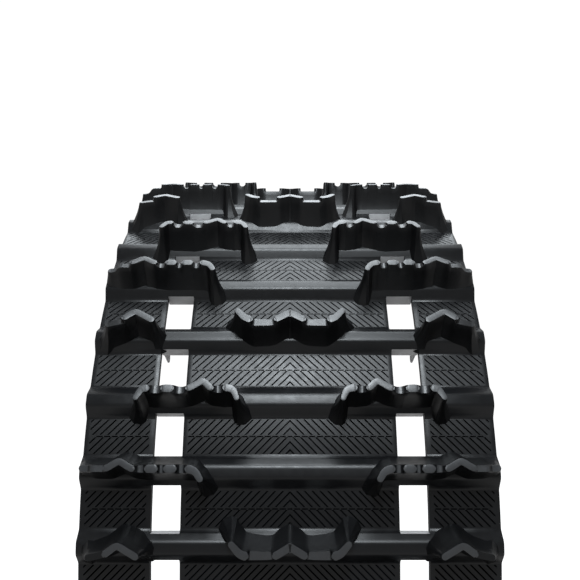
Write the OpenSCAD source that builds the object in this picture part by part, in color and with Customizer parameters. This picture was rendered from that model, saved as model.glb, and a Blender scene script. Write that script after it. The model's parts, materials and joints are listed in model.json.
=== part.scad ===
// Endless rubber track for a snowmobile: a moulded belt with cross rods, steel window
// clips, drive lugs inside the loop and rows of tall tread paddles outside it.
// X runs across the belt, Y along the vehicle (front is -Y), Z up. The origin is on the
// ground, below the middle of the loop. The loop is built as six sections that flex
// against each other, each a quarter turn or a straight run.

/* [Loop] */
// Distance from one cross rod to the next, along the neutral line
pitch = 64; // [60:0.5:66]
// Pitches in each half turn of the loop
turn_pitches = 18; // [18:6:24]
// Pitches in each straight run
straight_pitches = 6; // [6:3:12]

/* [Belt] */
// Width of the belt
belt_w = 381; // [380:1:400]
// Thickness of the belt between rods
belt_t = 7; // [6:0.5:8]
// Width of each drive window across the belt
window_w = 26.8; // [24:0.2:28]
// Distance from the belt's middle to a window's middle
window_x = 112.6; // [111:0.2:114]
// Width of the bar between two windows, its steel clip included
bar_w = 23; // [22:0.5:26]
// Gap left in the rubber at a flex line between two sections
flex_gap = 0.3; // [0.2:0.1:0.6]

/* [Ridges and rods] */
// Height of the moulded ridge over each rod, above the outer panel
ridge_h = 9; // [8:0.5:10]
// Width of a ridge at its foot
ridge_base = 30; // [28:1:34]
// Width of a ridge's flat crest
ridge_crest = 11; // [10:1:12]
// Length of a cross rod
rod_l = 365; // [340:1:370]
// Width of a cross rod
rod_w = 10; // [8:0.5:12]
// Thickness of a cross rod
rod_t = 5.5; // [4:0.5:6]

/* [Clips] */
// Thickness of the clip steel
clip_t = 1.5; // [1:0.1:2]
// Height of a clip's side walls
clip_wall = 14; // [13.5:0.5:14.5]
// Height of a guide ear above the clip's running face
ear_h = 28; // [20:1:32]

/* [Drive lugs] */
// Height of a drive lug, from the belt's inner face
drive_h = 22; // [18:1:26]
// Length of a drive lug at its foot, along the belt
drive_foot = 34; // [28:1:36]
// Length of a drive lug at its tip, along the belt
drive_tip = 17; // [12:1:18]
// Width of a drive lug at its foot, across the belt
drive_w = 20; // [16:1:22]

/* [Tread paddles] */
// Height of the paddles, from the outer panel
lug_h = 38; // [32:1:44]
// Depth of the recesses between the raised caps
recess = 4.8; // [2:0.1:6]
// Thickness of a paddle's wall
wall_w = 9; // [8:0.5:10]
// Thickness of the raised caps on top of the wall
cap_w = 7.2; // [6:0.2:7.8]

/* [Hidden] */
half_turn = turn_pitches / 2;
step = 180 / turn_pitches;
neutral_r = turn_pitches * pitch / PI;
straight = straight_pitches * pitch;
outer_z = belt_t / 2;
crest_z = outer_z + ridge_h;
tip_z = outer_z + lug_h;
axle_z = neutral_r + tip_z;
window_in = window_x - window_w / 2;
window_out = window_x + window_w / 2;
core_w = bar_w - 2 * clip_t;
clip_low = outer_z + 3 - clip_wall;
clip_top = clip_low + clip_wall;
rod_z = outer_z;
edge_x = belt_w / 2;
// The knuckle on one side of each flex line, and the cup that holds it clear
knuckle_r = belt_t / 2 - 0.1;
cup_r = knuckle_r + flex_gap;
overlap = 1;
// How far a ridge's flank runs out for each millimetre that it drops
flank = (ridge_base - ridge_crest) / 2 / ridge_h;
$fn = 48;

SECTIONS = ["front_upper", "top_run", "rear_upper", "rear_lower", "bottom_run", "front_lower"];
PIECES = ["carcass", "rods", "plain_clips", "guide_clips", "drive_lugs",
          "centre_paddles", "edge_paddles", "wide_paddles", "inboard_paddles"];

// Pitches in each section, and the station where each one starts, counted along the belt
// from the foremost point, over the top and back underneath.
length_of = [half_turn, straight_pitches, half_turn, half_turn, straight_pitches, half_turn];
function first(b) = b == 0 ? 0 : first(b - 1) + length_of[b - 1];
function is_straight(b) = b == 1 || b == 4;
// Flats that make up each pitch of a quarter turn
flats = 4;

function tilt_at(s) =
    s < half_turn ? 90 - s * step :
    s < first(2) ? 0 :
    s < first(4) ? (first(2) - s) * step :
    s < first(5) ? 180 : 180 - (s - first(5)) * step;
function middle_at(s) =
    s <= half_turn ? -straight / 2 :
    s < first(2) ? -straight / 2 + (s - half_turn) * pitch :
    s <= first(4) ? straight / 2 :
    s < first(5) ? straight / 2 - (s - first(4)) * pitch : -straight / 2;

// Puts its children on the neutral line at station s, +Z outwards and +Y along the belt
module place(s) {
    translate([0, middle_at(s), axle_z]) rotate([tilt_at(s), 0, 0]) translate([0, 0, neutral_r]) children();
}

module each_rod(b, row = -1) {
    for (k = [first(b) : first(b) + length_of[b] - 1])
        if (row < 0 || k % 3 == row) place(k + 0.5) children();
}

// Extrudes a Y-Z outline across the belt, from x0 to x1
module across(x0, x1) {
    translate([x0, 0, 0]) rotate([90, 0, 90]) linear_extrude(x1 - x0) children();
}

module both_sides() {
    children();
    mirror([1, 0, 0]) children();
}

// --- Outlines ---------------------------------------------------------------------

function unit(v) = v / norm(v);
function left_of(v) = [-v[1], v[0]];
function side_at(p, i) =
    let (before = left_of(unit(p[max(i, 1)] - p[max(i, 1) - 1])),
         last = len(p) - 1,
         after = left_of(unit(p[min(i, last - 1) + 1] - p[min(i, last - 1)])),
         middle = unit(before + after))
    middle / (middle * before);
// Outline of a wall of width w along a line of points
function band(p, w) = concat(
    [for (i = [0 : len(p) - 1]) p[i] + side_at(p, i) * w / 2],
    [for (i = [len(p) - 1 : -1 : 0]) p[i] - side_at(p, i) * w / 2]);
function mirrored(p) = [for (i = [len(p) - 1 : -1 : 0]) [-p[i][0], p[i][1]]];

// The flanks run on to 1 mm below the outer panel, so that they cut it cleanly
module ridge_outline() {
    foot = ridge_base / 2 + flank * overlap;
    foot_z = outer_z - overlap;
    crest = ridge_crest / 2;
    polygon([[-foot, 0], [foot, 0], [foot, foot_z], [crest, crest_z], [-crest, crest_z], [-foot, foot_z]]);
}

// The bar between two windows: a core that the clip wraps, with the ridge on top
module bar_outline() {
    core = core_w / 2;
    half = bar_w / 2;
    crest = ridge_crest / 2;
    shoulder = crest_z - (half - crest) / flank;
    polygon([[-core, clip_low + clip_t], [core, clip_low + clip_t], [core, clip_top], [half, clip_top],
             [half, shoulder], [crest, crest_z], [-crest, crest_z], [-half, shoulder], [-half, clip_top],
             [-core, clip_top]]);
}

module rod_outline() {
    translate([0, rod_z]) {
        square([rod_w - rod_t, rod_t], center = true);
        for (side = [-1, 1]) translate([side * (rod_w - rod_t) / 2, 0]) circle(d = rod_t);
    }
}

// --- Belt --------------------------------------------------------------------------

// One lengthwise strip of the belt, between two distances from its middle. In a quarter
// turn it runs in short flats, a few to each pitch.
module strip(b, x0, x1) {
    if (is_straight(b)) {
        place(first(b) + length_of[b] / 2)
            translate([x0, -straight / 2, -belt_t / 2]) cube([x1 - x0, straight, belt_t]);
    } else {
        tilts = [for (i = [0 : half_turn * flats]) tilt_at(first(b) + 0.5) + step / 2 - i * step / flats];
        translate([0, middle_at(first(b) + 0.5), axle_z]) across(x0, x1)
            polygon(concat([for (t = tilts) (neutral_r + belt_t / 2) * [-sin(t), cos(t)]],
                           [for (i = [len(tilts) - 1 : -1 : 0])
                               (neutral_r - belt_t / 2) * [-sin(tilts[i]), cos(tilts[i])]]));
    }
}

module strips(b) {
    strip(b, -window_in, window_in);
    strip(b, window_out, edge_x);
    strip(b, -edge_x, -window_out);
}

module carcass(b) {
    color("#24272b") difference() {
        union() {
            strips(b);
            place(first(b)) for (x = [[-edge_x, -window_out], [-window_in, window_in], [window_out, edge_x]])
                across(x[0], x[1]) circle(r = knuckle_r);
            each_rod(b) {
                across(-window_in, window_in) ridge_outline();
                both_sides() {
                    across(window_out, edge_x) ridge_outline();
                    across(window_in - overlap, window_out + overlap) bar_outline();
                }
            }
        }
        each_rod(b) across(-rod_l / 2, rod_l / 2) rod_outline();
        place(first(b) + length_of[b]) across(-edge_x - overlap, edge_x + overlap) circle(r = cup_r);
    }
}

module rods(b) {
    color("#c9b26a") each_rod(b) across(-rod_l / 2, rod_l / 2) rod_outline();
}

// --- Clips -------------------------------------------------------------------------

module clip_outline() {
    half = bar_w / 2;
    core = core_w / 2;
    polygon([[-half, clip_low], [half, clip_low], [half, clip_top], [core, clip_top],
             [core, clip_low + clip_t], [-core, clip_low + clip_t], [-core, clip_top], [-half, clip_top]]);
}

module clip() {
    across(window_in, window_out) clip_outline();
}

module ear_outline() {
    foot = bar_w / 2 - 2;
    tip = foot / 2;
    polygon([[-foot, clip_low], [-tip, clip_low - ear_h], [tip, clip_low - ear_h], [foot, clip_low]]);
}

module plain_clips(b) {
    color("#c8ccd0") {
        each_rod(b, 1) both_sides() clip();
        each_rod(b, 2) both_sides() clip();
    }
}

module guide_clips(b) {
    ear_t = 2;
    color("#b9bdc2") each_rod(b, 0) both_sides() {
        clip();
        across(window_in, window_in + ear_t) ear_outline();
        across(window_out - ear_t, window_out) ear_outline();
    }
}

// --- Drive lugs ----------------------------------------------------------------------

// A blunt pyramid inside the loop; its foot stands on the belt's inner face
module drive_lug() {
    foot_z = -belt_t / 2;
    draft = 3;
    intersection() {
        across(-drive_w / 2, drive_w / 2)
            polygon([[-drive_foot / 2, foot_z], [drive_foot / 2, foot_z],
                     [drive_tip / 2, foot_z - drive_h], [-drive_tip / 2, foot_z - drive_h]]);
        rotate([90, 0, 0]) linear_extrude(drive_foot, center = true)
            polygon([[-drive_w / 2, foot_z], [drive_w / 2, foot_z],
                     [drive_w / 2 - draft, foot_z - drive_h], [-drive_w / 2 + draft, foot_z - drive_h]]);
    }
}

module drive_lugs(b) {
    clear = drive_w / 2 + 3;
    color("#2a2d31") difference() {
        each_rod(b) both_sides() for (x = [window_in - clear, window_out + clear])
            translate([x, 0, 0]) drive_lug();
        if (!is_straight(b)) strip(b, -edge_x, edge_x);
    }
}

// --- Tread paddles ------------------------------------------------------------------
// Each paddle is a wall on a ridge, with raised caps along its top. Wall and cap lines
// are X-Y points, X from the belt's middle and Y from the rod, towards the next rod.

module paddle(wall, caps) {
    difference() {
        union() {
            translate([0, 0, outer_z]) linear_extrude(lug_h - recess) polygon(band(wall, wall_w));
            for (c = caps) translate([0, 0, tip_z - 2 * recess]) linear_extrude(2 * recess) polygon(band(c, cap_w));
        }
        across(-edge_x, edge_x) ridge_outline();
    }
}

centre_bean = [[35.5, 1.2], [43.5, 2.6], [50, 10.6]];
centre_wall = concat(mirrored([[13, 0.3], [36, 0.6], [43.5, 2.2], [51, 11.2]]),
                     [[0, 8.6], [13, 0.3], [36, 0.6], [43.5, 2.2], [51, 11.2]]);
centre_peak = [[-15, 0.4], [0, 9.4], [15, 0.4]];

module centre_paddles(b) {
    color("#2e3135") each_rod(b, 0) paddle(centre_wall, [centre_peak, centre_bean, mirrored(centre_bean)]);
}

edge_wall = [[131.5, 1.2], [147.5, 9.6], [158, 1], [170, -2], [184, -13]];
edge_peak = [[131.5, 1.2], [147.5, 10.6], [158.5, 1.6]];

module edge_paddles(b) {
    slope_x = 168;
    color("#2e3135") each_rod(b, 0) both_sides() intersection() {
        paddle(edge_wall, [edge_peak]);
        rotate([90, 0, 0]) linear_extrude(4 * wall_w, center = true)
            polygon([[100, 0], [edge_x, 0], [edge_x, crest_z], [slope_x, tip_z - recess], [slope_x, tip_z], [100, tip_z]]);
    }
}

wide_wall = [[77.5, -6.6], [81.5, 0], [89, 2.6], [137.5, 2.6], [148.5, 8.6], [159, 2.6], [180, 3.6]];
wide_bean = [[77.5, -6.6], [81.5, 0.4], [91, 2.6]];
wide_blocks = [[[98.3, 2.6], [109.8, 2.6]], [[114.6, 2.6], [126.2, 2.6]]];
wide_peak = [[135, 1.6], [148.5, 9.2], [162, 1.6]];

module wide_paddles(b) {
    color("#2e3135") each_rod(b, 1) both_sides()
        paddle(wide_wall, concat([wide_bean, wide_peak], wide_blocks));
}

inboard_wall = [[47.6, -7.6], [50.6, 0.6], [57, 2.4], [71, 2], [78.7, 8.6], [91, 2.2], [129, 2.4],
                [134.5, 1.4], [138.8, -7]];
inboard_beans = [[[47.6, -7.6], [50.8, 1], [60, 2.6]], [[127, 2.8], [134, 1.8], [138.8, -7]]];
inboard_peak = [[69.6, 0.8], [78.7, 9.6], [93.5, 1.2]];
inboard_block = [[104.6, 1.6], [116.3, 1.6]];

module inboard_paddles(b) {
    color("#2e3135") each_rod(b, 2) both_sides()
        paddle(inboard_wall, concat(inboard_beans, [inboard_peak, inboard_block]));
}

for (b = [0 : len(SECTIONS) - 1]) {
    carcass(b);
    rods(b);
    plain_clips(b);
    guide_clips(b);
    drive_lugs(b);
    centre_paddles(b);
    edge_paddles(b);
    wide_paddles(b);
    inboard_paddles(b);
}
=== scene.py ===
"""Looks of a rubber snowmobile track.

Each operator makes one group of like pieces round the fixed frame, in metres, and the panel in
the 3D view's sidebar lists them. Shapes are worked in millimetres in belt space: X across the
belt, Y along it from a rod or a flex line, Z outwards from the neutral line. They are then wrapped
round the loop or placed at its stations.
"""

import json
import math

import bmesh
import bpy
from bpy.props import FloatProperty, FloatVectorProperty, PointerProperty
from bpy.types import Operator, Panel, PropertyGroup
from mathutils import Matrix, Vector

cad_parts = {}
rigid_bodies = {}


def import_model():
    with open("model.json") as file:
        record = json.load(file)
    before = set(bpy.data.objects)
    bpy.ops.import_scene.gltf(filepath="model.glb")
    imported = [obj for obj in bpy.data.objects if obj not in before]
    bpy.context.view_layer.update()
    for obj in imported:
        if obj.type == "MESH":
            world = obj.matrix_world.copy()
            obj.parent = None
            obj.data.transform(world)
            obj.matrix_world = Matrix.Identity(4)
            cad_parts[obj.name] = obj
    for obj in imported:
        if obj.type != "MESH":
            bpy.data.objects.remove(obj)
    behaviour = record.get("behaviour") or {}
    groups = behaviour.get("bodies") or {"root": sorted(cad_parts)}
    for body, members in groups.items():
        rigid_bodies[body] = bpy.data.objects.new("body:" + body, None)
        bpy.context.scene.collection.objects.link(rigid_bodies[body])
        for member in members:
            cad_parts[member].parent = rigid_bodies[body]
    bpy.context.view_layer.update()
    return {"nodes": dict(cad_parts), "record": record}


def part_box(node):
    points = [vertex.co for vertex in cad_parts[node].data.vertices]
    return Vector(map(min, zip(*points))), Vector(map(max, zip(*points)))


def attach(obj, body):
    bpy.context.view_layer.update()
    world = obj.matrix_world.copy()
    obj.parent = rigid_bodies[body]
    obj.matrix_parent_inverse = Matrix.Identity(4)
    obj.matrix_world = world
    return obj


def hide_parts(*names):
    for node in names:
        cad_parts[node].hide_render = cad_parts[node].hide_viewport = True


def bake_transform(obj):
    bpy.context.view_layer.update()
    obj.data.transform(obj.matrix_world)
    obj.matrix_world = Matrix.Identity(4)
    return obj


bl_info = {
    "name": "Snowmobile track",
    "version": (1, 0, 0),
    "blender": (4, 5, 0),
    "location": "View3D > Sidebar > Track",
    "description": "Builds the visible pieces of a rubber snowmobile track round its frame",
    "category": "Object",
}

for startup_object in list(bpy.data.objects):
    bpy.data.objects.remove(startup_object)
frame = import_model()
FRAME_MATERIALS = {material.name for material in bpy.data.materials}
JOINTS = {joint["name"]: joint for joint in frame["record"]["behaviour"]["joints"]}

# The loop, read from the flex lines' places
MM = 0.001
NOSE = Vector(JOINTS["front_nose_flex"]["pos_m"])
CROWN = Vector(JOINTS["front_top_flex"]["pos_m"])
RUN_HALF = -CROWN.y
NEUTRAL_R = CROWN.z - NOSE.z
TURN_PITCHES = 18
HALF_TURN = TURN_PITCHES // 2
STEP = 180.0 / TURN_PITCHES
PITCH = math.pi * NEUTRAL_R / TURN_PITCHES
RUN_PITCHES = round(2 * RUN_HALF / PITCH)
PITCH_MM = PITCH / MM

# Section: first station and pitches, counted onwards from the foremost point over the top
SECTIONS = {
    "front_upper": (0, HALF_TURN),
    "top_run": (HALF_TURN, RUN_PITCHES),
    "rear_upper": (HALF_TURN + RUN_PITCHES, HALF_TURN),
    "rear_lower": (TURN_PITCHES + RUN_PITCHES, HALF_TURN),
    "bottom_run": (TURN_PITCHES + RUN_PITCHES + HALF_TURN, RUN_PITCHES),
    "front_lower": (TURN_PITCHES + 2 * RUN_PITCHES + HALF_TURN, HALF_TURN),
}
STATIONS = 2 * (TURN_PITCHES + RUN_PITCHES)

# Rows repeat every three rods
ALL_ROWS = ROW_CENTRE_AND_EDGE, ROW_WIDE, ROW_INBOARD = 0, 1, 2


# --- Sizes and finishes that a user would change --------------------------------------------------


def mm_prop(name, description, default, low, high):
    return FloatProperty(name=name, description=description, default=default, min=low, max=high)


class BeltSizes(PropertyGroup):
    width: mm_prop("Width", "Belt width in mm", 381.0, 370.0, 400.0)
    half_thickness: mm_prop(
        "Half thickness", "From the neutral line to either face, in mm", 3.5, 3.0, 4.0)
    window_in: mm_prop("Window inner side", "From the belt's middle, in mm", 99.2, 95.0, 102.0)
    window_out: mm_prop("Window outer side", "From the belt's middle, in mm", 126.0, 122.0, 130.0)
    bar_half: mm_prop(
        "Bar half width", "Half of the rubber bar between windows, in mm", 11.3, 10.8, 11.4)
    ridge_half: mm_prop(
        "Ridge half length", "Half of the belt's stretch that a ridge takes, in mm", 16.0, 15.5, 18.0)
    edge_round: mm_prop("Edge rounding", "Rounding of belt edges and window rims, in mm", 0.9, 0.3, 1.5)


class TreadSizes(PropertyGroup):
    groove_pitch: mm_prop(
        "Groove pitch", "Distance between chevron grooves across the belt, in mm", 7.1, 5.0, 10.0)
    groove_width: mm_prop("Groove width", "Width of a chevron groove, in mm", 1.35, 0.8, 2.0)
    groove_depth: mm_prop("Groove depth", "Depth of a chevron groove, in mm", 1.5, 0.3, 2.0)
    margin: mm_prop("Smooth margin", "Ungrooved rubber beside edges and windows, in mm", 4.5, 2.0, 8.0)


class PaddleSizes(PropertyGroup):
    height: mm_prop("Height", "Paddle height above the outer panel, in mm", 38.0, 30.0, 44.0)
    recess: mm_prop("Recess", "Depth of the recesses between caps, in mm", 4.8, 1.0, 6.0)
    wall_half: mm_prop(
        "Wall half width", "Half of the wall's usual thickness at its top, in mm", 3.6, 3.0, 5.0)
    foot_half: mm_prop(
        "Foot half width", "Half of the foot's thickness in the belt, in mm", 12.0, 9.0, 14.0)
    limit: mm_prop(
        "Side limit", "Farthest that a paddle reaches from the belt's middle, in mm", 190.3, 185.0, 190.5)


class Finishes(PropertyGroup):
    belt: FloatVectorProperty(
        name="Belt rubber", description="Colour of the belt", subtype="COLOR", size=3,
        default=(0.0060, 0.0064, 0.0074), min=0.0, max=1.0)
    paddle: FloatVectorProperty(
        name="Paddle rubber", description="Colour of the paddles' walls", subtype="COLOR", size=3,
        default=(0.0050, 0.0053, 0.0060), min=0.0, max=1.0)
    tip: FloatVectorProperty(
        name="Paddle tips", description="Colour of the paddles' matt tips", subtype="COLOR", size=3,
        default=(0.034, 0.036, 0.039), min=0.0, max=1.0)
    steel: FloatVectorProperty(
        name="Clip steel", description="Colour of the pressed clips", subtype="COLOR", size=3,
        default=(0.90, 0.90, 0.91), min=0.0, max=1.0)


PROPERTY_GROUPS = {
    "track_belt": BeltSizes,
    "track_tread": TreadSizes,
    "track_paddle": PaddleSizes,
    "track_finish": Finishes,
}


# --- Stations and wrapping ------------------------------------------------------------------------


def tilt_and_middle(s):
    """Angle about X in degrees, and Y of the turning centre or of the place, at s pitches."""
    s = s % STATIONS
    top, rear = HALF_TURN, HALF_TURN + RUN_PITCHES
    under, front = rear + TURN_PITCHES, rear + TURN_PITCHES + RUN_PITCHES
    if s < top:
        return 90.0 - s * STEP, -RUN_HALF
    if s < rear:
        return 0.0, -RUN_HALF + (s - top) * PITCH
    if s < under:
        return (rear - s) * STEP, RUN_HALF
    if s < front:
        return 180.0, RUN_HALF - (s - under) * PITCH
    return 180.0 - (s - front) * STEP, -RUN_HALF


def station(s):
    """Matrix from belt space in metres to the loop, at s pitches from the foremost point."""
    tilt, middle = tilt_and_middle(s)
    turn = Matrix.Rotation(math.radians(tilt), 4, "X")
    return Matrix.Translation((0, middle, NOSE.z)) @ turn @ Matrix.Translation((0, 0, NEUTRAL_R))


def wrap(bm, start):
    """Bends belt-space geometry in mm round the loop, from station start onwards."""
    for vert in bm.verts:
        x, y, z = vert.co * MM
        tilt, middle = tilt_and_middle(start + y / PITCH)
        turn = math.radians(tilt)
        radius = NEUTRAL_R + z
        vert.co = (x, middle - radius * math.sin(turn), NOSE.z + radius * math.cos(turn))


def rods_of(body, rows):
    """Stations of a body's rods in these rows."""
    first, count = SECTIONS[body]
    return [k + 0.5 for k in range(first, first + count) if k % len(ALL_ROWS) in rows]


# --- Mesh helpers ---------------------------------------------------------------------------------

SHARP_ANGLE = math.radians(32)


def append(bm, mesh, matrix):
    """Adds a master mesh to bm, moved by matrix."""
    before = len(bm.verts)
    bm.from_mesh(mesh)
    bm.verts.ensure_lookup_table()
    bmesh.ops.transform(bm, matrix=matrix, verts=bm.verts[before:])


def to_mesh(bm, name):
    mesh = bpy.data.meshes.new(name)
    bm.to_mesh(mesh)
    bm.free()
    return mesh


def finish_piece(bm, name, materials, recalc=True):
    """Makes the object: faces smooth, edges sharp where they turn by more than SHARP_ANGLE."""
    if recalc:
        bmesh.ops.recalc_face_normals(bm, faces=bm.faces)
    for face in bm.faces:
        face.smooth = True
    for edge in bm.edges:
        edge.smooth = len(edge.link_faces) == 2 and edge.calc_face_angle() < SHARP_ANGLE
    piece = bpy.data.objects.new(name, to_mesh(bm, name))
    bpy.context.collection.objects.link(piece)
    for material in materials:
        piece.data.materials.append(material)
    return piece


def faces_within(bm, x0, x1, y0, y1):
    found = []
    for face in bm.faces:
        middle = face.calc_center_median()
        if x0 < middle.x < x1 and y0 < middle.y < y1:
            found.append(face)
    return found


def cut(bm, faces, point, normal):
    """Cuts these faces along a plane."""
    edges = {edge for face in faces for edge in face.edges}
    verts = {vert for face in faces for vert in face.verts}
    bmesh.ops.bisect_plane(
        bm, geom=list(verts) + list(edges) + list(faces), dist=1e-4, plane_co=point, plane_no=normal)


def cut_x(bm, x, y0=-1e3, y1=1e3):
    cut(bm, faces_within(bm, -1e3, 1e3, y0, y1), (x, 0, 0), (1, 0, 0))


def cut_y(bm, y, x0=-1e3, x1=1e3):
    cut(bm, faces_within(bm, x0, x1, -1e3, 1e3), (0, y, 0), (0, 1, 0))


def flat_sheet(width, length):
    """The right half of a stretch of belt: x from 0 to width, y centred."""
    bm = bmesh.new()
    bmesh.ops.create_grid(bm, x_segments=1, y_segments=1, size=0.5)
    bmesh.ops.scale(bm, vec=(width, length, 1), verts=bm.verts)
    bmesh.ops.translate(bm, vec=(width / 2, 0, 0), verts=bm.verts)
    return bm


# --- Belt -----------------------------------------------------------------------------------------

# Stretch over which a groove's end rises to the surface
GROOVE_RAMP = 0.5

# The row of short grooves along a panel's middle: gap between two, and half the width of one
DASH_GAP = 1.5
DASH_HALF = 0.6

# Where the chevrons above and below that row begin, and how far their grooves are shifted
UPPER_START = 1.5
LOWER_START = -0.7
UPPER_PHASE = 0.5
LOWER_PHASE = 2.2

# Ungrooved strip beside a ridge
PANEL_END = 0.3

# Outer surface over a rod: distance along the belt from the rod, and height
RIDGE_LINE = ((0, 12.5), (2.8, 12.5), (4.1, 12.38), (5.3, 12.0), (6.4, 11.3), (7.4, 10.4), (12.4, 5.6),
              (13.4, 4.7), (14.3, 4.05), (15.2, 3.65), (15.9, 3.5), (40, 3.5))


def score_diagonals(bm, box, phase, tread):
    """Cuts V grooves along x + y = constant in a box (x0, x1, y0, y1), ramped at both ends."""
    x0, x1, y0, y1 = box
    inner_x0 = x0 + GROOVE_RAMP if x0 > 0 else -1.0
    inner = (inner_x0, x1 - GROOVE_RAMP, y0 + GROOVE_RAMP, y1 - GROOVE_RAMP)
    for y in inner[2:]:
        cut(bm, faces_within(bm, x0, x1, y0, y1), (0, y, 0), (0, 1, 0))
    for x in inner[:2]:
        if x > 0:
            cut(bm, faces_within(bm, x0, x1, y0, y1), (x, 0, 0), (1, 0, 0))
    reach = tread.groove_width / 2 * math.sqrt(2)
    shortest = 3 * GROOVE_RAMP
    steps = range(int((x0 + y0) / tread.groove_pitch) - 2, int((x1 + y1) / tread.groove_pitch) + 2)
    lines = [phase + j * tread.groove_pitch for j in steps]
    lines = [c for c in lines if x0 + y0 + shortest < c < x1 + y1 - shortest]
    for c in lines:
        for shift in (-reach, 0.0, reach):
            cut(bm, faces_within(bm, x0, x1, y0, y1), (c + shift, 0, 0), (1, 1, 0))
    slack = 1e-3
    for vert in bm.verts:
        x, y, _ = vert.co
        inside = inner[0] - slack < x < inner[1] + slack and inner[2] - slack < y < inner[3] + slack
        if inside and any(abs(x + y - c) < slack for c in lines):
            vert.co.z -= tread.groove_depth


def score_dashes(bm, x0, x1, tread):
    """Cuts the row of short grooves along the middle of a panel."""
    box = (x0, x1, LOWER_START, -LOWER_START)
    centres = []
    for j in range(int(x1 / tread.groove_pitch) + 1):
        outer = LOWER_PHASE + j * tread.groove_pitch
        inner = max(outer - tread.groove_pitch + DASH_GAP, -1.0) if j else -1.0
        if inner > -1.0 and (inner < x0 or outer > x1):
            continue
        if outer > x1 or outer < x0 + 2 * GROOVE_RAMP:
            continue
        ends = [outer - GROOVE_RAMP / 2, outer]
        if inner > 0:
            ends += [inner, inner + GROOVE_RAMP / 2]
        for x in ends:
            cut(bm, faces_within(bm, *box), (x, 0, 0), (1, 0, 0))
        centres.append((inner + GROOVE_RAMP / 2 if inner > 0 else -1.0, outer - GROOVE_RAMP / 2))
    for y in (-DASH_HALF, 0.0, DASH_HALF):
        cut(bm, faces_within(bm, *box), (0, y, 0), (0, 1, 0))
    slack = 1e-3
    for vert in bm.verts:
        x, y, _ = vert.co
        if abs(y) < slack and any(a - slack < x < b + slack for a, b in centres):
            vert.co.z -= tread.groove_depth


def close_unit(bm, half_length, low_z):
    """Mirrors the right half, gives the sheet its thickness and leaves both ends along Y open."""
    bmesh.ops.mirror(bm, geom=bm.verts[:] + bm.edges[:] + bm.faces[:], axis="X", merge_dist=1e-3)
    made = bmesh.ops.extrude_face_region(bm, geom=bm.faces[:])["geom"]
    low_verts = [item for item in made if isinstance(item, bmesh.types.BMVert)]
    for vert in low_verts:
        vert.co.z = low_z
    ends = [face for face in bm.faces if all(abs(v.co.y) > half_length - 1e-3 for v in face.verts)]
    bmesh.ops.delete(bm, geom=ends, context="FACES")
    low_edges = [e for e in bm.edges if all(abs(v.co.z - low_z) < 1e-3 for v in e.verts)]
    low_verts = [v for v in bm.verts if abs(v.co.z - low_z) < 1e-3]
    bmesh.ops.dissolve_limit(bm, angle_limit=math.radians(1), verts=low_verts, edges=low_edges)


def panel_master(belt, tread):
    """The grooved stretch of belt between two ridges, centred on the middle of the pitch."""
    half = PITCH_MM / 2 - belt.ridge_half
    edge = belt.width / 2
    bm = flat_sheet(edge, 2 * half)
    for x in (belt.window_in, belt.window_out):
        cut_x(bm, x)
    window = faces_within(bm, belt.window_in, belt.window_out, -half, half)
    bmesh.ops.delete(bm, geom=window, context="FACES")
    top = half - PANEL_END
    for y in (-top, LOWER_START, -LOWER_START, UPPER_START, top):
        cut_y(bm, y)
    middle_strip = (0.0, belt.window_in - tread.margin)
    side_strip = (belt.window_out + tread.margin, edge - tread.margin)
    for x0, x1 in (middle_strip, side_strip):
        for x in (x0, x1):
            if x > 0:
                cut_x(bm, x, -top, top)
        score_diagonals(bm, (x0, x1, -top, LOWER_START), LOWER_PHASE, tread)
        score_diagonals(bm, (x0, x1, UPPER_START, top), UPPER_PHASE, tread)
        score_dashes(bm, x0, x1, tread)
    for vert in bm.verts:
        vert.co.z += belt.half_thickness
    close_unit(bm, half, -belt.half_thickness)
    return to_mesh(bm, "panel_master")


def ridge_height(y):
    """Outer surface over a rod, at a distance y along the belt."""
    for (y0, z0), (y1, z1) in zip(RIDGE_LINE, RIDGE_LINE[1:]):
        if abs(y) <= y1:
            return z0 + (z1 - z0) * (abs(y) - y0) / (y1 - y0)
    return RIDGE_LINE[-1][1]


def ridge_master(belt):
    """The stretch of belt over one rod, with the bars that part the windows."""
    half = belt.ridge_half
    bm = flat_sheet(belt.width / 2, 2 * half)
    for x in (belt.window_in, belt.window_out):
        cut_x(bm, x)
    for y, _ in RIDGE_LINE[1:-1]:
        cut_y(bm, y)
        cut_y(bm, -y)
    for y in (-belt.bar_half, belt.bar_half):
        cut_y(bm, y)
    for side in (-1, 1):
        low, high = sorted((side * belt.bar_half, side * (half + 1)))
        gap = faces_within(bm, belt.window_in, belt.window_out, low, high)
        bmesh.ops.delete(bm, geom=gap, context="FACES")
    for vert in bm.verts:
        vert.co.z = ridge_height(vert.co.y)
    close_unit(bm, half, -belt.half_thickness)
    return to_mesh(bm, "ridge_master")


def rounded_rims(bm, belt):
    """Rounds the belt's edges and the windows' side rims."""
    rims = []
    for edge in bm.edges:
        if len(edge.link_faces) != 2:
            continue
        walls = [abs(face.normal.x) > 0.9 for face in edge.link_faces]
        if walls[0] != walls[1]:
            rims.append(edge)
    bmesh.ops.bevel(
        bm, geom=rims, offset=belt.edge_round, offset_type="OFFSET", segments=2, profile=0.5,
        affect="EDGES", material=-1, clamp_overlap=True)


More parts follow.
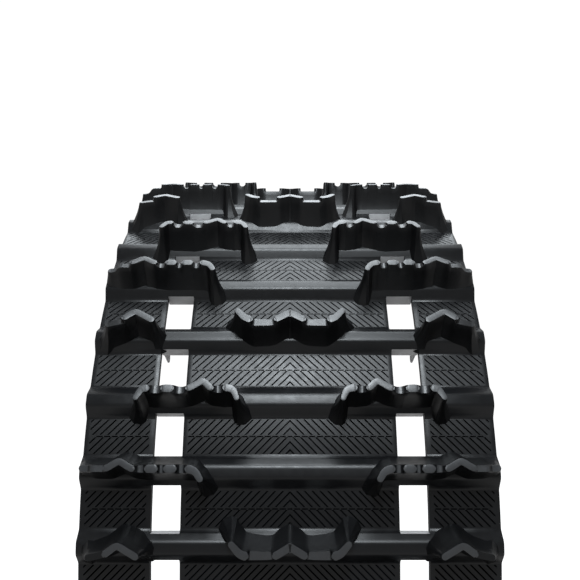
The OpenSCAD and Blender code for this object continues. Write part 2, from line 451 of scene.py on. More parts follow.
def belt_piece(name, start, ridges, panels):
    """A stretch of belt from station start. ridges and panels are places along it, in pitches."""
    belt = bpy.context.scene.track_belt
    bm = bmesh.new()
    for master, places in (("ridge_master", ridges), ("panel_master", panels)):
        for place in places:
            shift = Matrix.Translation((0, (place - start) * PITCH_MM, 0))
            append(bm, bpy.data.meshes[master], shift)
    bmesh.ops.remove_doubles(bm, verts=bm.verts, dist=0.01)
    bmesh.ops.recalc_face_normals(bm, faces=bm.faces)
    rounded_rims(bm, belt)
    open_edges = [edge for edge in bm.edges if len(edge.link_faces) == 1]
    bmesh.ops.holes_fill(bm, edges=open_edges, sides=0)
    inner_z = -belt.half_thickness + 0.2
    for face in bm.faces:
        inner = all(vert.co.z < inner_z for vert in face.verts)
        face.material_index = 1 if inner else 0
    for place in ridges:
        add_bar_bosses(bm, (place - start) * PITCH_MM, belt)
    wrap(bm, start)
    return finish_piece(bm, name, named("moulded_belt", "inner_ply"))


# The rubber that fills a clip: depth, play on each side, and overlap with the belt
BOSS_DEPTH = 2.6
BOSS_PLAY_ACROSS = 0.2
BOSS_PLAY_ALONG = 1.0
BOSS_OVERLAP = 0.05


def add_bar_bosses(bm, y, belt):
    """The rubber under each clip's running face, which fills the clip."""
    for side in (-1, 1):
        middle = (belt.window_in + belt.window_out) / 2 * side
        width = belt.window_out - belt.window_in - 2 * BOSS_PLAY_ACROSS
        length = 2 * (belt.bar_half - BOSS_PLAY_ALONG)
        z = -belt.half_thickness - BOSS_DEPTH / 2 + BOSS_OVERLAP
        size = Matrix.Diagonal((width, length, BOSS_DEPTH, 1))
        bmesh.ops.create_cube(bm, size=1.0, matrix=Matrix.Translation((middle, y, z)) @ size)


# --- Paddles --------------------------------------------------------------------------------------
# A wall follows a line of (x, y, drop) points, drop being how far its top is below the recesses.
# Caps are (from x, to x, half width there, half width here) along it.

CENTRE_WALL = ((0, 9.0, 0), (13.5, 1.0, 0), (20, 0.4, 0), (36, 0.8, 0), (43.0, 3.0, 0), (50.0, 11.0, 0))
CENTRE_CAPS = ((-15.2, 15.2, 3.4, 3.4), (35.2, 60, 4.1, 2.9))
EDGE_WALL = ((131.6, 1.0, 0), (147.5, 10.4, 0), (158.5, 2.2, 0), (165.0, 0.4, 0), (173.0, -1.2, 0.6))
EDGE_CAPS = ((120, 159.8, 3.1, 3.1),)
WIDE_WALL = ((77.9, -6.0, 0), (81.8, 0.4, 0), (88.0, 2.6, 0), (137.5, 2.6, 0), (148.6, 9.4, 0),
             (159.5, 2.8, 0), (166.0, 2.8, 0), (174.0, 3.0, 0.2), (178.4, 3.0, 6.6), (183.5, 3.2, 7.4))
WIDE_CAPS = ((70, 91.4, 2.8, 3.8), (98.2, 109.9, 3.6, 3.6), (114.5, 126.4, 3.6, 3.6),
             (134.4, 162.4, 3.0, 3.0))
INBOARD_WALL = ((47.8, -6.6, 0), (50.8, 1.0, 0), (57.0, 3.0, 0), (71.5, 2.4, 0), (78.7, 9.8, 0),
                (90.5, 2.6, 0), (98.0, 1.8, 0), (127.0, 2.6, 0), (133.6, 2.0, 0), (138.4, -6.2, 0))
INBOARD_CAPS = ((40, 60.8, 2.5, 3.8), (68.7, 94.2, 3.0, 3.0), (104.4, 116.4, 3.7, 3.7),
                (126.5, 150, 3.7, 2.5))

# An edge paddle's top is plain, without the matt finish, from here outwards
EDGE_SHOULDER = 160.0

# Flare of the wall: how far up it is, as a share of its height, and its share of the foot's flare
WALL_LINE = ((0.0, 1.0), (0.08, 0.86), (0.16, 0.71), (0.26, 0.55), (0.42, 0.35), (0.62, 0.18),
             (0.82, 0.06), (0.965, 0.0), (1.0, -0.06))

# Where a paddle starts, inside the belt, and the face from which its height counts
FOOT_Z = 2.6
OUTER_FACE = RIDGE_LINE[-1][1]

# Steps round a wall's end, and the stretch over which the end takes over the wall's shape
FAN = 6
END_BLEND = 8.0

# Shares of the top line's swing that the foot keeps in front and behind
FRONT_SWAY, BACK_SWAY = 0.55, 0.85

# Rib down the front's middle: half widths where it is full and where it ends, and its depth
RIB_FULL, RIB_END, RIB_OUT = 1.5, 2.7, 1.5


def smooth_step(value):
    share = min(max(value, 0.0), 1.0)
    return share * share * (3 - 2 * share)


def smooth_line(points, rounds=2):
    """Cuts corners off a line of points, keeping its ends."""
    line = [Vector(p) for p in points]
    for _ in range(rounds):
        cut_line = [line[0]]
        for a, b in zip(line, line[1:]):
            reach = min(0.25, 1.6 / max((b - a).length, 1e-6))
            cut_line += [a.lerp(b, reach), a.lerp(b, 1 - reach)]
        line = cut_line + [line[-1]]
    return line


class WallLine:
    """A paddle's line, measured by the distance along it."""

    def __init__(self, points, caps):
        self.points = points
        self.arcs = [0.0]
        for a, b in zip(points, points[1:]):
            self.arcs.append(self.arcs[-1] + (b - a).xy.length)
        self.length = self.arcs[-1]
        self.caps = [(self.arc(x0), self.arc(x1), h0, h1) for x0, x1, h0, h1 in caps]

    def arc(self, x):
        """Distance along the line at x. Past its ends it is far away."""
        if x <= self.points[0].x:
            return -50.0
        for i, (a, b) in enumerate(zip(self.points, self.points[1:])):
            if x <= b.x:
                return self.arcs[i] + (b - a).xy.length * (x - a.x) / (b.x - a.x)
        return self.length + 50.0

    def point(self, arc):
        for i, (a, b) in enumerate(zip(self.points, self.points[1:])):
            if arc <= self.arcs[i + 1] or i == len(self.points) - 2:
                return a.lerp(b, (arc - self.arcs[i]) / (self.arcs[i + 1] - self.arcs[i]))

    def back(self, arc):
        """The direction across the wall, away from its front."""
        step = 0.5
        chord = self.point(min(arc + step, self.length)) - self.point(max(arc - step, 0.0))
        return Vector((-chord.y, chord.x)).normalized()

    def half(self, arc):
        """Half width of the wall's top."""
        knots = []
        for a0, a1, h0, h1 in self.caps:
            knots += [(max(a0, 0.0), h0), (min(a1, self.length), h1)]
        if arc <= knots[0][0]:
            return knots[0][1]
        for (a, h), (b, k) in zip(knots, knots[1:]):
            if arc <= b:
                return h + (k - h) * (arc - a) / (b - a)
        return knots[-1][1]

    def gap(self, arc):
        """How far arc is past the nearest cap's end, negative in a cap, and the width of that gap."""
        before = max([a1 for a0, a1, _, _ in self.caps if a1 < arc], default=-50.0)
        after = min([a0 for a0, a1, _, _ in self.caps if a0 > arc], default=self.length + 50.0)
        for a0, a1, _, _ in self.caps:
            if a0 <= arc <= a1:
                return -min(arc - a0, a1 - arc), min(a0 - before, after - a1)
        return min(arc - before, after - arc), after - before

    def rise(self, arc, recess):
        """Height of the wall's rim above the recesses: up at caps and down in the gaps, in a curve."""
        past, width = self.gap(arc)
        reach = 1.3 if width > 14 else 0.36 * width
        return (recess - 0.5) * smooth_step((reach - past) / (reach + 2.6))

    def cap(self, arc, recess):
        """Half width and height of the cap over the rim, rounded in plan at its ends."""
        past, _ = self.gap(arc)
        half = self.half(arc)
        if past > 0:
            return half * 0.6, 0.0
        inside = min(-past, half) / half
        return max(half * math.sqrt(1 - (1 - inside) ** 2), 0.4), recess - self.rise(arc, recess)

    def stations(self, rib):
        """Places along the line where the shape is set, closer together at cap ends."""
        places = {0.0, self.length, *self.arcs}
        count = max(2, round(self.length / 4.5))
        places |= {self.length * i / count for i in range(count + 1)}
        for a0, a1, h0, h1 in self.caps:
            for near, share in ((0.0, 0), (0.35, 0), (0, 0.35), (0, 0.65), (0, 1)):
                places |= {a0 + near + share * h0, a1 - near - share * h1}
            for out in (0.03, 0.8, 1.6, 3.0):
                places |= {a0 - out, a1 + out}
        if rib:
            middle = self.length / 2
            places |= {middle + side * near for side in (-1, 1) for near in (0.0, RIB_FULL, RIB_END)}
        kept = []
        for arc in sorted(place for place in places if 0 <= place <= self.length):
            if not kept or arc - kept[-1] > 0.02:
                kept.append(arc)
        return kept


def paddle_profile(line, arc, out, side, sizes, flare, rib):
    """Points from the foot to the middle of the top, on the side that the direction out faces."""
    point = line.point(arc)
    recess = sizes.recess
    half = line.half(arc) + 0.25
    cap_half, cap_rise = line.cap(arc, recess)
    near_end = smooth_step(1 - min(arc, line.length - arc) / END_BLEND)
    outwards = -1 if arc < line.length / 2 else 1
    spread = Vector((out.x * (near_end if out.x * outwards > 0 else 0.15), out.y)).normalized()
    sway = (1 - (FRONT_SWAY if side < 0 else BACK_SWAY)) * (1 - near_end) * point.y
    to_end = max(0.0, -out.dot(line_end_inwards(line, arc))) if flare else 0.0
    step = 0.0
    if rib and side < 0:
        offset = abs(arc - line.length / 2)
        step = RIB_OUT * smooth_step((RIB_END - offset) / (RIB_END - RIB_FULL))
    rim = OUTER_FACE + sizes.height - recess - point.z
    points = []
    for share, width in WALL_LINE:
        plan = point.xy + out * half + spread * (sizes.foot_half - sizes.wall_half) * width
        plan.y -= sway * (1 - share) + step
        plan += out * flare * to_end * (1 - share) ** 1.4
        top = rim + line.rise(arc, recess) * smooth_step((share - 0.7) / 0.3)
        points.append(Vector((*plan, FOOT_Z + (top - FOOT_Z) * share)))
    top = points[-1].z
    for inset, up in ((0.0, 0.0), (0.15, 0.8), (0.7, 1.0)):
        plan = point.xy + out * max(cap_half - inset * min(1.0, cap_half / 3), 0.1)
        plan.y -= step
        points.append(Vector((*plan, top + cap_rise * up)))
    for vert in points:
        vert.x = max(-sizes.limit, min(sizes.limit, vert.x))
    return points


def line_end_inwards(line, arc):
    """Direction along the line from its nearer end towards its middle."""
    if arc < line.length / 2:
        return (line.point(2.0) - line.point(0.0)).xy.normalized()
    return (line.point(line.length - 2.0) - line.point(line.length)).xy.normalized()


def paddle_master(name, wall, caps, flares, sizes, both, bare_from):
    """Lofts a paddle round its line, with a rounded, flared end at each end of the line.

    Its top is matt as far out as bare_from, and plain like the walls beyond.
    """
    points = smooth_line(wall)
    if both:
        points = [Vector((-p.x, p.y, p.z)) for p in reversed(points[1:])] + points
        caps = tuple((-x1, -x0, h1, h0) for x0, x1, h0, h1 in caps if x0 > 0) + tuple(caps)
    line = WallLine(points, caps)
    arcs = line.stations(both)
    profiles = [paddle_profile(line, arc, -line.back(arc), -1, sizes, 0.0, both) for arc in arcs]
    for arc, flare, onwards in ((line.length, flares[1], True), (0.0, flares[0], False)):
        start = -line.back(arc) if onwards else line.back(arc)
        for i in range(1, FAN):
            out = Matrix.Rotation(math.pi * i / FAN, 2) @ start
            profiles.append(paddle_profile(line, arc, out, 1, sizes, flare, False))
        if onwards:
            for a in reversed(arcs):
                profiles.append(paddle_profile(line, a, line.back(a), 1, sizes, 0.0, both))
    rings = [[profile[i] for profile in profiles] for i in range(len(profiles[0]))]
    bm = bmesh.new()
    foot, top = loft(bm, rings)
    last = len(arcs) - 1
    for ring in (foot, top):
        behind = [ring[last + FAN + (last - i)] for i in range(last + 1)]
        for i in range(last):
            bmesh.ops.contextual_create(bm, geom=[ring[i], ring[i + 1], behind[i + 1], behind[i]])
        bmesh.ops.contextual_create(bm, geom=ring[last:last + FAN + 1])
        bmesh.ops.contextual_create(bm, geom=ring[2 * last + FAN:] + ring[:1])
    bmesh.ops.remove_doubles(bm, verts=bm.verts, dist=0.005)
    bmesh.ops.recalc_face_normals(bm, faces=bm.faces)
    half_height = sizes.height / 2
    for face in bm.faces:
        middle = face.calc_center_median()
        matt = middle.z > half_height and face.normal.z > 0.75 and middle.x < bare_from
        face.material_index = 1 if matt else 0
    return to_mesh(bm, name)


def loft(bm, rings):
    """Joins closed rings of points into a wall. Gives the first and the last ring's vertices."""
    first = [bm.verts.new(point) for point in rings[0]]
    edges = [bm.edges.new((a, b)) for a, b in zip(first, first[1:] + first[:1])]
    verts = first
    for ring in rings[1:]:
        made = bmesh.ops.extrude_edge_only(bm, edges=edges)["geom"]
        moved = {item for item in made if isinstance(item, bmesh.types.BMVert)}
        verts = [next(e.other_vert(v) for e in v.link_edges if e.other_vert(v) in moved)
                 for v in verts]
        edges = [bm.edges.get((a, b)) for a, b in zip(verts, verts[1:] + verts[:1])]
        for vert, point in zip(verts, ring):
            vert.co = point
    return first, verts


def mirrored_mesh(mesh, name):
    bm = bmesh.new()
    bm.from_mesh(mesh)
    bmesh.ops.scale(bm, vec=(-1, 1, 1), verts=bm.verts)
    bmesh.ops.recalc_face_normals(bm, faces=bm.faces)
    return to_mesh(bm, name)


def piece_per_section(kind, meshes, rows, materials):
    """One object for each section, with copies of the masters, given in mm, at its rods."""
    for body in SECTIONS:
        bm = bmesh.new()
        for s in rods_of(body, rows):
            for mesh in meshes:
                append(bm, mesh, station(s) @ Matrix.Diagonal((MM, MM, MM, 1)))
        piece = finish_piece(bm, f"{kind}_{body}", materials, recalc=False)
        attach(piece, body)
        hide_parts(f"{body}_{kind}")


# --- Clips and drive lugs -------------------------------------------------------------------------

# A clip's section: half its outer width, its lowest and highest edge, and the sheet's thickness
CLIP_OUT = 11.5
CLIP_LOW = -7.5
CLIP_TOP = 6.5
CLIP_T = 1.5
CLIP_PLAY = 0.15

# Guide ears: thickness, and how deep below the clip they keep their width
EAR_T = 2.0
EAR_WAIST = 6.0

# Drive lug: half sizes at its foot and its tip, and the heights of both
LUG_FOOT = (10.0, 17.0, -3.0)
LUG_TIP = (7.0, 8.5, -25.5)
LUG_ROUND = 2.2
LUG_FROM_WINDOW = 13.0


def outline_solid(points, x0, x1):
    """A solid from a Y-Z outline, between two distances across the belt."""
    bm = bmesh.new()
    verts = [bm.verts.new((x0, y, z)) for y, z in points]
    face = bm.faces.new(verts)
    made = bmesh.ops.extrude_face_region(bm, geom=[face])["geom"]
    moved = [item for item in made if isinstance(item, bmesh.types.BMVert)]
    bmesh.ops.translate(bm, vec=(x1 - x0, 0, 0), verts=moved)
    bmesh.ops.recalc_face_normals(bm, faces=bm.faces)
    return bm


def round_edges(bm, edges, size, segments):
    bmesh.ops.bevel(
        bm, geom=edges, offset=size, offset_type="OFFSET", segments=segments, profile=0.5,
        affect="EDGES", material=-1, clamp_overlap=True)


def clip_master(name, belt, ears):
    """A pressed channel round the bar, on the right side. Guide clips have two ears."""
    x0, x1 = belt.window_in + CLIP_PLAY, belt.window_out - CLIP_PLAY
    out, inside, floor = CLIP_OUT, CLIP_OUT - CLIP_T, CLIP_LOW + CLIP_T
    channel = outline_solid(
        ((-out, CLIP_LOW), (out, CLIP_LOW), (out, CLIP_TOP), (inside, CLIP_TOP), (inside, floor),
         (-inside, floor), (-inside, CLIP_TOP), (-out, CLIP_TOP)), x0, x1)
    corners = [e for e in channel.edges
               if all(v.co.z < CLIP_LOW + 0.01 and abs(v.co.y) > out - 0.01 for v in e.verts)
               and abs(e.verts[0].co.x - e.verts[1].co.x) > 1]
    round_edges(channel, corners, 2.4, 4)
    rims = [e for e in channel.edges if len(e.link_faces) == 2 and e.calc_face_angle() > 0.8]
    round_edges(channel, rims, 0.28, 1)
    mesh = to_mesh(channel, name)
    if not ears:
        return mesh
    whole = bmesh.new()
    whole.from_mesh(mesh)
    foot, waist, tip = CLIP_OUT - 2, CLIP_OUT - 3.6, CLIP_OUT / 2 - 1
    low = ear_depth()
    root, bend, slant = CLIP_LOW + 0.6, CLIP_LOW - EAR_WAIST, 2.5
    for e0 in (x0, x1 - EAR_T):
        ear = outline_solid(
            ((-foot, root), (-waist, bend), (-tip, low + slant), (-tip + slant, low),
             (tip - slant, low), (tip, low + slant), (waist, bend), (foot, root)), e0, e0 + EAR_T)
        round_edges(ear, [e for e in ear.edges if e.calc_face_angle() > 0.8], 0.5, 2)
        part = to_mesh(ear, name + "_ear")
        whole.from_mesh(part)
        bpy.data.meshes.remove(part)
    whole.to_mesh(mesh)
    whole.free()
    return mesh


def ear_depth():
    """Tip of a guide ear in belt space, in mm, from the top run's guide clips."""
    low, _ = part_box("top_run_guide_clips")
    return (low[2] - NOSE.z - NEUTRAL_R) / MM


def drive_lug_master():
    """A blunt pyramid with rounded edges, standing inwards at x = 0."""
    bm = bmesh.new()
    bmesh.ops.create_cube(bm, size=1.0)
    for vert in bm.verts:
        half_x, half_y, z = LUG_TIP if vert.co.z < 0 else LUG_FOOT
        vert.co = (math.copysign(half_x, vert.co.x), math.copysign(half_y, vert.co.y), z)
    edges = [e for e in bm.edges if min(v.co.z for v in e.verts) < LUG_FOOT[2] - 1]
    round_edges(bm, edges, LUG_ROUND, 3)
    bmesh.ops.recalc_face_normals(bm, faces=bm.faces)
    return to_mesh(bm, "drive_lug_master")


# --- Materials ------------------------------------------------------------------------------------


class Shader:
    """Builds a node material step by step."""

    def __init__(self, name):
        if name in FRAME_MATERIALS:
            raise ValueError(f"{name} is the name of one of the frame's own materials")
        self.material = bpy.data.materials.new(name)
        self.material.use_nodes = True
        self.nodes = self.material.node_tree.nodes
        self.links = self.material.node_tree.links
        self.surface = self.nodes["Principled BSDF"]
        self.space = self.nodes.new("ShaderNodeTexCoord").outputs["Object"]

    def noise(self, scale, detail=3.0, rough=0.5, stretch=None):
        node = self.nodes.new("ShaderNodeTexNoise")
        node.inputs["Scale"].default_value = scale
        node.inputs["Detail"].default_value = detail
        node.inputs["Roughness"].default_value = rough
        space = self.space
        if stretch:
            mapping = self.nodes.new("ShaderNodeMapping")
            mapping.inputs["Scale"].default_value = stretch
            self.links.new(space, mapping.inputs["Vector"])
            space = mapping.outputs["Vector"]
        self.links.new(space, node.inputs["Vector"])
        return node.outputs["Fac"]

    def ramp(self, fac, low, high, start=0.3, end=0.7):
        node = self.nodes.new("ShaderNodeValToRGB")
        node.color_ramp.elements[0].position = start
        node.color_ramp.elements[1].position = end
        node.color_ramp.elements[0].color = (*low, 1)
        node.color_ramp.elements[1].color = (*high, 1)
        self.links.new(fac, node.inputs["Fac"])
        return node.outputs["Color"]

    def spread(self, fac, low, high, start=0.3, end=0.7):
        node = self.nodes.new("ShaderNodeMapRange")
        node.inputs["From Min"].default_value = start
        node.inputs["From Max"].default_value = end
        node.inputs["To Min"].default_value = low
        node.inputs["To Max"].default_value = high
        self.links.new(fac, node.inputs["Value"])
        return node.outputs["Result"]

    def mix(self, a, b, share):
        node = self.nodes.new("ShaderNodeMix")
        node.data_type = "RGBA"
        node.inputs["Factor"].default_value = share
        self.links.new(a, node.inputs["A"])
        self.links.new(b, node.inputs["B"])
        return node.outputs["Result"]

    def bump(self, height, distance, strength=1.0, under=None):
        node = self.nodes.new("ShaderNodeBump")
        node.inputs["Distance"].default_value = distance
        node.inputs["Strength"].default_value = strength
        self.links.new(height, node.inputs["Height"])
        if under is not None:
            self.links.new(under, node.inputs["Normal"])
        return node.outputs["Normal"]

    def plug(self, socket, value):
        self.links.new(value, self.surface.inputs[socket])


def shade(colour, factor):
    return tuple(min(1.0, c * factor) for c in colour)


def rubber(name, colour, rough_low, rough_high, grain, wear=1.6, gloss=0.5):
    """Moulded rubber: cloudy colour, fine grain and uneven gloss."""
    make = Shader(name)
    make.surface.inputs["Specular IOR Level"].default_value = gloss
    clouds = make.noise(38.0, 4.0)
    speckle = make.noise(1900.0, 2.0)
    base = make.ramp(clouds, shade(colour, 0.8), shade(colour, 1.25))
    flecks = make.ramp(speckle, shade(colour, 0.6), shade(colour, wear), 0.35, 0.75)
    make.plug("Base Color", make.mix(base, flecks, 0.45))
    make.plug("Roughness", make.spread(make.noise(150.0, 5.0), rough_low, rough_high))
    fine = make.bump(make.noise(1500.0, 3.0), grain)
    make.plug("Normal", make.bump(make.noise(260.0, 3.0), grain * 2.0, 0.5, fine))
    return make.material


def woven_rubber(name, colour):
    """The inner face, with the fabric ply showing through."""
    make = Shader(name)
    waves = []
    for direction in ("X", "Y"):
        wave = make.nodes.new("ShaderNodeTexWave")
        wave.bands_direction = direction
        wave.inputs["Scale"].default_value = 170.0
        wave.inputs["Distortion"].default_value = 0.6
        make.links.new(make.space, wave.inputs["Vector"])
        waves.append(wave.outputs["Fac"])
    clouds = make.noise(30.0, 4.0)
    make.plug("Base Color", make.ramp(clouds, shade(colour, 0.75), shade(colour, 1.35)))
    make.plug("Roughness", make.spread(make.noise(220.0), 0.55, 0.75))
    first = make.bump(waves[0], 0.0002, 0.7)
    make.plug("Normal", make.bump(waves[1], 0.0002, 0.7, first))
    return make.material


def pressed_steel(name, colour):
    """Zinc-plated pressed steel, drawn across the belt."""
    make = Shader(name)
    drawn = make.noise(700.0, 3.0, 0.5, (0.04, 1.0, 1.0))
    clouds = make.noise(60.0, 4.0)
    base = make.ramp(clouds, shade(colour, 0.85), shade(colour, 1.05))
    make.plug("Base Color", base)
    make.surface.inputs["Metallic"].default_value = 0.3
    make.plug("Roughness", make.spread(drawn, 0.28, 0.42))
    make.plug("Normal", make.bump(drawn, 0.00006))
    return make.material


def glass_fibre(name):
    """Pultruded rod: long fibres in amber resin."""
    make = Shader(name)
    fibres = make.noise(900.0, 2.0, 0.5, (0.01, 1.0, 1.0))
    make.plug("Base Color", make.ramp(fibres, (0.42, 0.33, 0.14), (0.66, 0.56, 0.3)))
    make.plug("Roughness", make.spread(fibres, 0.35, 0.5))
    make.plug("Normal", make.bump(fibres, 0.00008))
    return make.material


# --- Operators ------------------------------------------------------------------------------------


class TRACK_OT_materials(Operator):
    """Makes the rubber, steel and glass-fibre finishes"""

    bl_idname = "track.materials"
    bl_label = "Finishes"

    def execute(self, context):
        finish = context.scene.track_finish
        rubber("moulded_belt", finish.belt, 0.30, 0.38, 0.000012)
        woven_rubber("inner_ply", finish.belt)
        rubber("moulded_paddle", finish.paddle, 0.33, 0.42, 0.000012)
        rubber("matt_tip", finish.tip, 0.33, 0.43, 0.00002, 1.5, 1.0)
        rubber("moulded_drive_lug", finish.paddle, 0.4, 0.5, 0.00002)
        pressed_steel("plated_steel", finish.steel)
        glass_fibre("pultruded_rod")
        return {"FINISHED"}


def named(*names):
    return [bpy.data.materials[name] for name in names]


class TRACK_OT_belt(Operator):
    """Makes each section's belt, with ridges, windows and chevron grooves"""

    bl_idname = "track.belt"
    bl_label = "Belt"

    def execute(self, context):
        scene = context.scene
        panel_master(scene.track_belt, scene.track_tread)
        ridge_master(scene.track_belt)
        for body, (first, count) in SECTIONS.items():
            ridges = [first + i + 0.5 for i in range(count)]
            panels = [first + i for i in range(1, count)]
            piece = belt_piece("belt_" + body, first, ridges, panels)
            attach(piece, body)
            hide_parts(body + "_carcass")
        return {"FINISHED"}


class TRACK_OT_flex_panels(Operator):
    """Makes the panels that bend where two sections meet"""

    bl_idname = "track.flex_panels"
    bl_label = "Flex panels"

    def execute(self, context):
        order = list(SECTIONS)
        joined = {frozenset((joint["parent"], joint["child"])) for joint in JOINTS.values()}
        for before, after in zip(order[-1:] + order[:-1], order):
            line = SECTIONS[after][0]
            name = f"flex_panel_{before}_{after}"
            if frozenset((before, after)) in joined:
                piece = belt_piece(name, line - 0.5, [], [line])
                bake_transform(piece)
            else:
                for body, side in ((before, -1), (after, 1)):
                    piece = half_panel(f"{name}_{body}", line, side)
                    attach(piece, body)
        return {"FINISHED"}


# Each half's end at the open pivot is a wedge, so that it clears the other half as they turn
WEDGE_MARGIN = math.radians(0.5)
WEDGE_GAP = 0.05 * MM


def half_panel(name, line, side):
    """Half of a panel, from a flex line to the next ridge on one side, ending in a wedge."""
    piece = belt_piece(name, line - 0.5, [], [line])
    bm = bmesh.new()
    bm.from_mesh(piece.data)
    matrix = station(line)
    onwards = matrix.to_3x3() @ Vector((0, side, 0))
    widest = math.radians(max(abs(limit) for limit in JOINTS["front_top_flex"]["range_deg"]))
    lean = widest / 2 + WEDGE_MARGIN
    for tilt in (-lean, lean):
        normal = Matrix.Rotation(tilt, 3, "X") @ onwards
        bmesh.ops.bisect_plane(
            bm, geom=bm.verts[:] + bm.edges[:] + bm.faces[:], dist=1e-7,
            plane_co=matrix.translation + onwards * WEDGE_GAP, plane_no=normal, clear_inner=True)
        bmesh.ops.holes_fill(bm, edges=[e for e in bm.edges if len(e.link_faces) == 1], sides=0)
    bmesh.ops.recalc_face_normals(bm, faces=bm.faces)
    bm.to_mesh(piece.data)
    bm.free()
    return piece


# Line, caps, flares of its two ends in mm, row, and whether it crosses the belt's middle
PADDLES = {
    "centre_paddles": (CENTRE_WALL, CENTRE_CAPS, (5.0, 5.0), ROW_CENTRE_AND_EDGE, True),
    "edge_paddles": (EDGE_WALL, EDGE_CAPS, (6.0, 8.5), ROW_CENTRE_AND_EDGE, False),
    "wide_paddles": (WIDE_WALL, WIDE_CAPS, (5.0, 2.0), ROW_WIDE, False),
    "inboard_paddles": (INBOARD_WALL, INBOARD_CAPS, (5.0, 5.0), ROW_INBOARD, False),
}


class TRACK_OT_paddles(Operator):
    """Makes the tread paddles of every row"""

    bl_idname = "track.paddles"
    bl_label = "Tread paddles"

    def execute(self, context):
        sizes = context.scene.track_paddle
        for kind, (wall, caps, flares, row, both) in PADDLES.items():
            bare_from = EDGE_SHOULDER if kind == "edge_paddles" else math.inf
            master = paddle_master(
                kind + "_master", wall, caps, flares, sizes, both, bare_from)
            meshes = [master]
            if not both:
                meshes.append(mirrored_mesh(master, kind + "_mirrored"))
            rubbers = named("moulded_paddle", "matt_tip")
            piece_per_section(kind, meshes, (row,), rubbers)
        return {"FINISHED"}


class TRACK_OT_drive_lugs(Operator):
    """Makes the lugs inside the loop, beside the windows"""

    bl_idname = "track.drive_lugs"
    bl_label = "Drive lugs"

    def execute(self, context):
        belt = context.scene.track_belt
        master = drive_lug_master()
        meshes = []
        for side in (-1, 1):
            for x in (belt.window_in - LUG_FROM_WINDOW, belt.window_out + LUG_FROM_WINDOW):
                bm = bmesh.new()
                append(bm, master, Matrix.Translation((side * x, 0, 0)))
                meshes.append(to_mesh(bm, "drive_lug_placed"))
        rubber_only = named("moulded_drive_lug")
        piece_per_section("drive_lugs", meshes, ALL_ROWS, rubber_only)
        return {"FINISHED"}


class TRACK_OT_clips(Operator):
    """Makes the plain window clips and the guide clips"""

    bl_idname = "track.clips"
    bl_label = "Clips"

    def execute(self, context):
        belt = context.scene.track_belt
        kinds = {"plain_clips": (ROW_WIDE, ROW_INBOARD), "guide_clips": (ROW_CENTRE_AND_EDGE,)}
        for kind, rows in kinds.items():
            right = clip_master(kind + "_master", belt, kind == "guide_clips")
            meshes = [right, mirrored_mesh(right, kind + "_mirrored")]
            piece_per_section(kind, meshes, rows, named("plated_steel"))
        return {"FINISHED"}


class TRACK_OT_rods(Operator):
    """Gives the cross rods, sealed in the rubber, their glass-fibre finish"""

    bl_idname = "track.rods"
    bl_label = "Cross rods"

    def execute(self, context):
        material = bpy.data.materials["pultruded_rod"]
        for body in SECTIONS:
            rods = frame["nodes"][body + "_rods"]
            for place in rods.material_slots:
                place.material = material
        return {"FINISHED"}


def area_light(name, place, aim, size, power, colour):
    data = bpy.data.lights.new(name, "AREA")
    data.shape = "RECTANGLE"
    data.size, data.size_y = size
    data.energy = power
    data.color = colour
    lamp = bpy.data.objects.new(name, data)
    lamp.location = place
    lamp.rotation_euler = (Vector(aim) - Vector(place)).to_track_quat("-Z", "Y").to_euler()
    bpy.context.collection.objects.link(lamp)


COOL = (0.88, 0.95, 1.0)
FLOOR_HALF = 30.0

# Camera, from the photograph's perspective: its place in metres, tilt in degrees and lens in mm
CAMERA_PLACE = (0.0, -1.2123, 0.6744)
CAMERA_TILT = 89.7
CAMERA_LENS = 45.0

# Studio in front of the object: share of the way from straight below to straight above, and
# brightness there. The studio behind it has one brightness, from where Y passes these directions.
FRONT_GLOW = ((0.0, 0.2), (0.16, 0.42), (0.34, 0.34), (0.47, 0.2), (0.6, 0.24), (0.72, 0.15),
              (1.0, 0.1))
BACK_GLOW = 0.4
BACK_FROM, BACK_FULL = -0.15, 0.25


def studio_world():
    """White to the camera. To the object, a dark front with a lit floor and a bright back."""
    world = bpy.data.worlds.new("studio")
    world.use_nodes = True
    nodes, links = world.node_tree.nodes, world.node_tree.links
    background = nodes["Background"]
    split = nodes.new("ShaderNodeSeparateXYZ")
    links.new(nodes.new("ShaderNodeTexCoord").outputs["Generated"], split.inputs["Vector"])
    height = nodes.new("ShaderNodeMapRange")
    height.inputs["From Min"].default_value = -1.0
    links.new(split.outputs["Z"], height.inputs["Value"])
    front = nodes.new("ShaderNodeValToRGB")
    for place, glow in FRONT_GLOW[1:-1]:
        front.color_ramp.elements.new(place).color = (glow, glow, glow, 1)
    for end, (place, glow) in ((0, FRONT_GLOW[0]), (-1, FRONT_GLOW[-1])):
        front.color_ramp.elements[end].position = place
        front.color_ramp.elements[end].color = (glow, glow, glow, 1)
    links.new(height.outputs["Result"], front.inputs["Fac"])
    behind = nodes.new("ShaderNodeMapRange")
    behind.interpolation_type = "SMOOTHSTEP"
    behind.inputs["From Min"].default_value = BACK_FROM
    behind.inputs["From Max"].default_value = BACK_FULL
    links.new(split.outputs["Y"], behind.inputs["Value"])
    around = nodes.new("ShaderNodeMix")
    around.data_type = "RGBA"
    links.new(behind.outputs["Result"], around.inputs["Factor"])
    links.new(front.outputs["Color"], around.inputs["A"])
    around.inputs["B"].default_value = (BACK_GLOW, BACK_GLOW, BACK_GLOW, 1)
    seen = nodes.new("ShaderNodeMix")
    seen.data_type = "RGBA"
    links.new(nodes.new("ShaderNodeLightPath").outputs["Is Camera Ray"], seen.inputs["Factor"])
    links.new(around.outputs["Result"], seen.inputs["A"])
    seen.inputs["B"].default_value = (1.05, 1.05, 1.05, 1)
    links.new(seen.outputs["Result"], background.inputs["Color"])
    return world


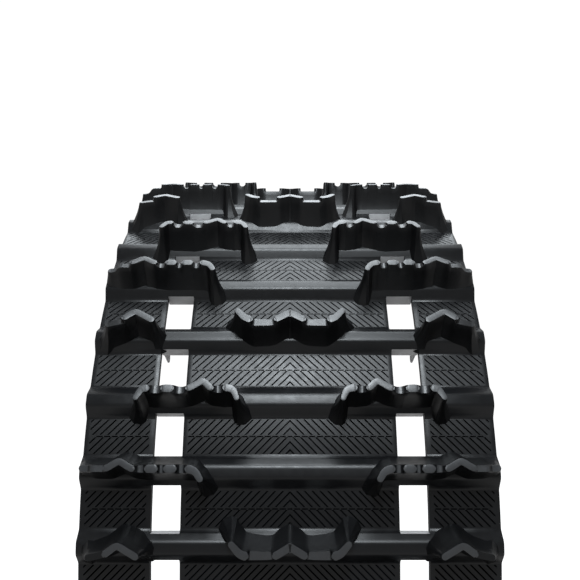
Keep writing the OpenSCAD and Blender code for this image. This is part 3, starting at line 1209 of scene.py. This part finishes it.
class TRACK_OT_stage(Operator):
    """Sets the floor, the studio light and the camera"""

    bl_idname = "track.stage"
    bl_label = "Stage"

    def execute(self, context):
        scene = context.scene
        bm = bmesh.new()
        bmesh.ops.create_grid(bm, x_segments=1, y_segments=1, size=FLOOR_HALF)
        floor = bpy.data.objects.new("floor", to_mesh(bm, "floor"))
        context.collection.objects.link(floor)
        paint = Shader("floor_paint")
        paint.plug("Base Color", paint.ramp(paint.noise(3.0), (0.3, 0.3, 0.3), (0.34, 0.34, 0.34)))
        paint.surface.inputs["Roughness"].default_value = 0.9
        paint.surface.inputs["Emission Color"].default_value = (1, 1, 1, 1)
        paint.surface.inputs["Emission Strength"].default_value = 0.96
        floor.data.materials.append(paint.material)
        floor.visible_diffuse = False
        floor.visible_glossy = False

        scene.world = studio_world()
        scene.view_settings.view_transform = "Standard"
        front = (0, -0.5, 0.6)
        area_light("key", (0, -1.91, 2.29), front, (0.22, 1.05), 30, COOL)
        area_light("fill", (0, -2.19, 2.01), front, (1.6, 1.2), 2.5, COOL)
        area_light("top", (0, -0.42, 2.1), (0, -0.42, 0.8), (0.75, 1.2), 15, COOL)
        area_light("back", (0, 0.9, 2.2), (0, -0.1, 0.8), (1.6, 1.2), 26, COOL)

        data = bpy.data.cameras.new("camera")
        data.sensor_width = 36.0
        data.lens = CAMERA_LENS
        camera = bpy.data.objects.new("camera", data)
        camera.location = CAMERA_PLACE
        camera.rotation_euler = (math.radians(CAMERA_TILT), 0, 0)
        context.collection.objects.link(camera)
        scene.camera = camera
        return {"FINISHED"}


OPERATORS = (
    TRACK_OT_materials,
    TRACK_OT_stage,
    TRACK_OT_belt,
    TRACK_OT_flex_panels,
    TRACK_OT_paddles,
    TRACK_OT_drive_lugs,
    TRACK_OT_clips,
    TRACK_OT_rods,
)


class TRACK_PT_panel(Panel):
    """Lists the track's sizes and the operators that build it"""

    bl_idname = "TRACK_PT_panel"
    bl_label = "Snowmobile track"
    bl_space_type = "VIEW_3D"
    bl_region_type = "UI"
    bl_category = "Track"

    def draw(self, context):
        layout = self.layout
        for group, kind in PROPERTY_GROUPS.items():
            box = layout.box()
            for name in kind.__annotations__:
                box.prop(getattr(context.scene, group), name)
        for operator in OPERATORS:
            layout.operator(operator.bl_idname)


CLASSES = (*PROPERTY_GROUPS.values(), *OPERATORS, TRACK_PT_panel)


def register():
    for cls in CLASSES:
        bpy.utils.register_class(cls)
    for group, kind in PROPERTY_GROUPS.items():
        setattr(bpy.types.Scene, group, PointerProperty(type=kind))


def unregister():
    for group in PROPERTY_GROUPS:
        delattr(bpy.types.Scene, group)
    for cls in reversed(CLASSES):
        bpy.utils.unregister_class(cls)


def main():
    register()
    for operator in OPERATORS:
        family, name = operator.bl_idname.split(".")
        getattr(getattr(bpy.ops, family), name)()
    for mesh in [mesh for mesh in bpy.data.meshes if not mesh.users]:
        bpy.data.meshes.remove(mesh)


if __name__ == "__main__":
    main()
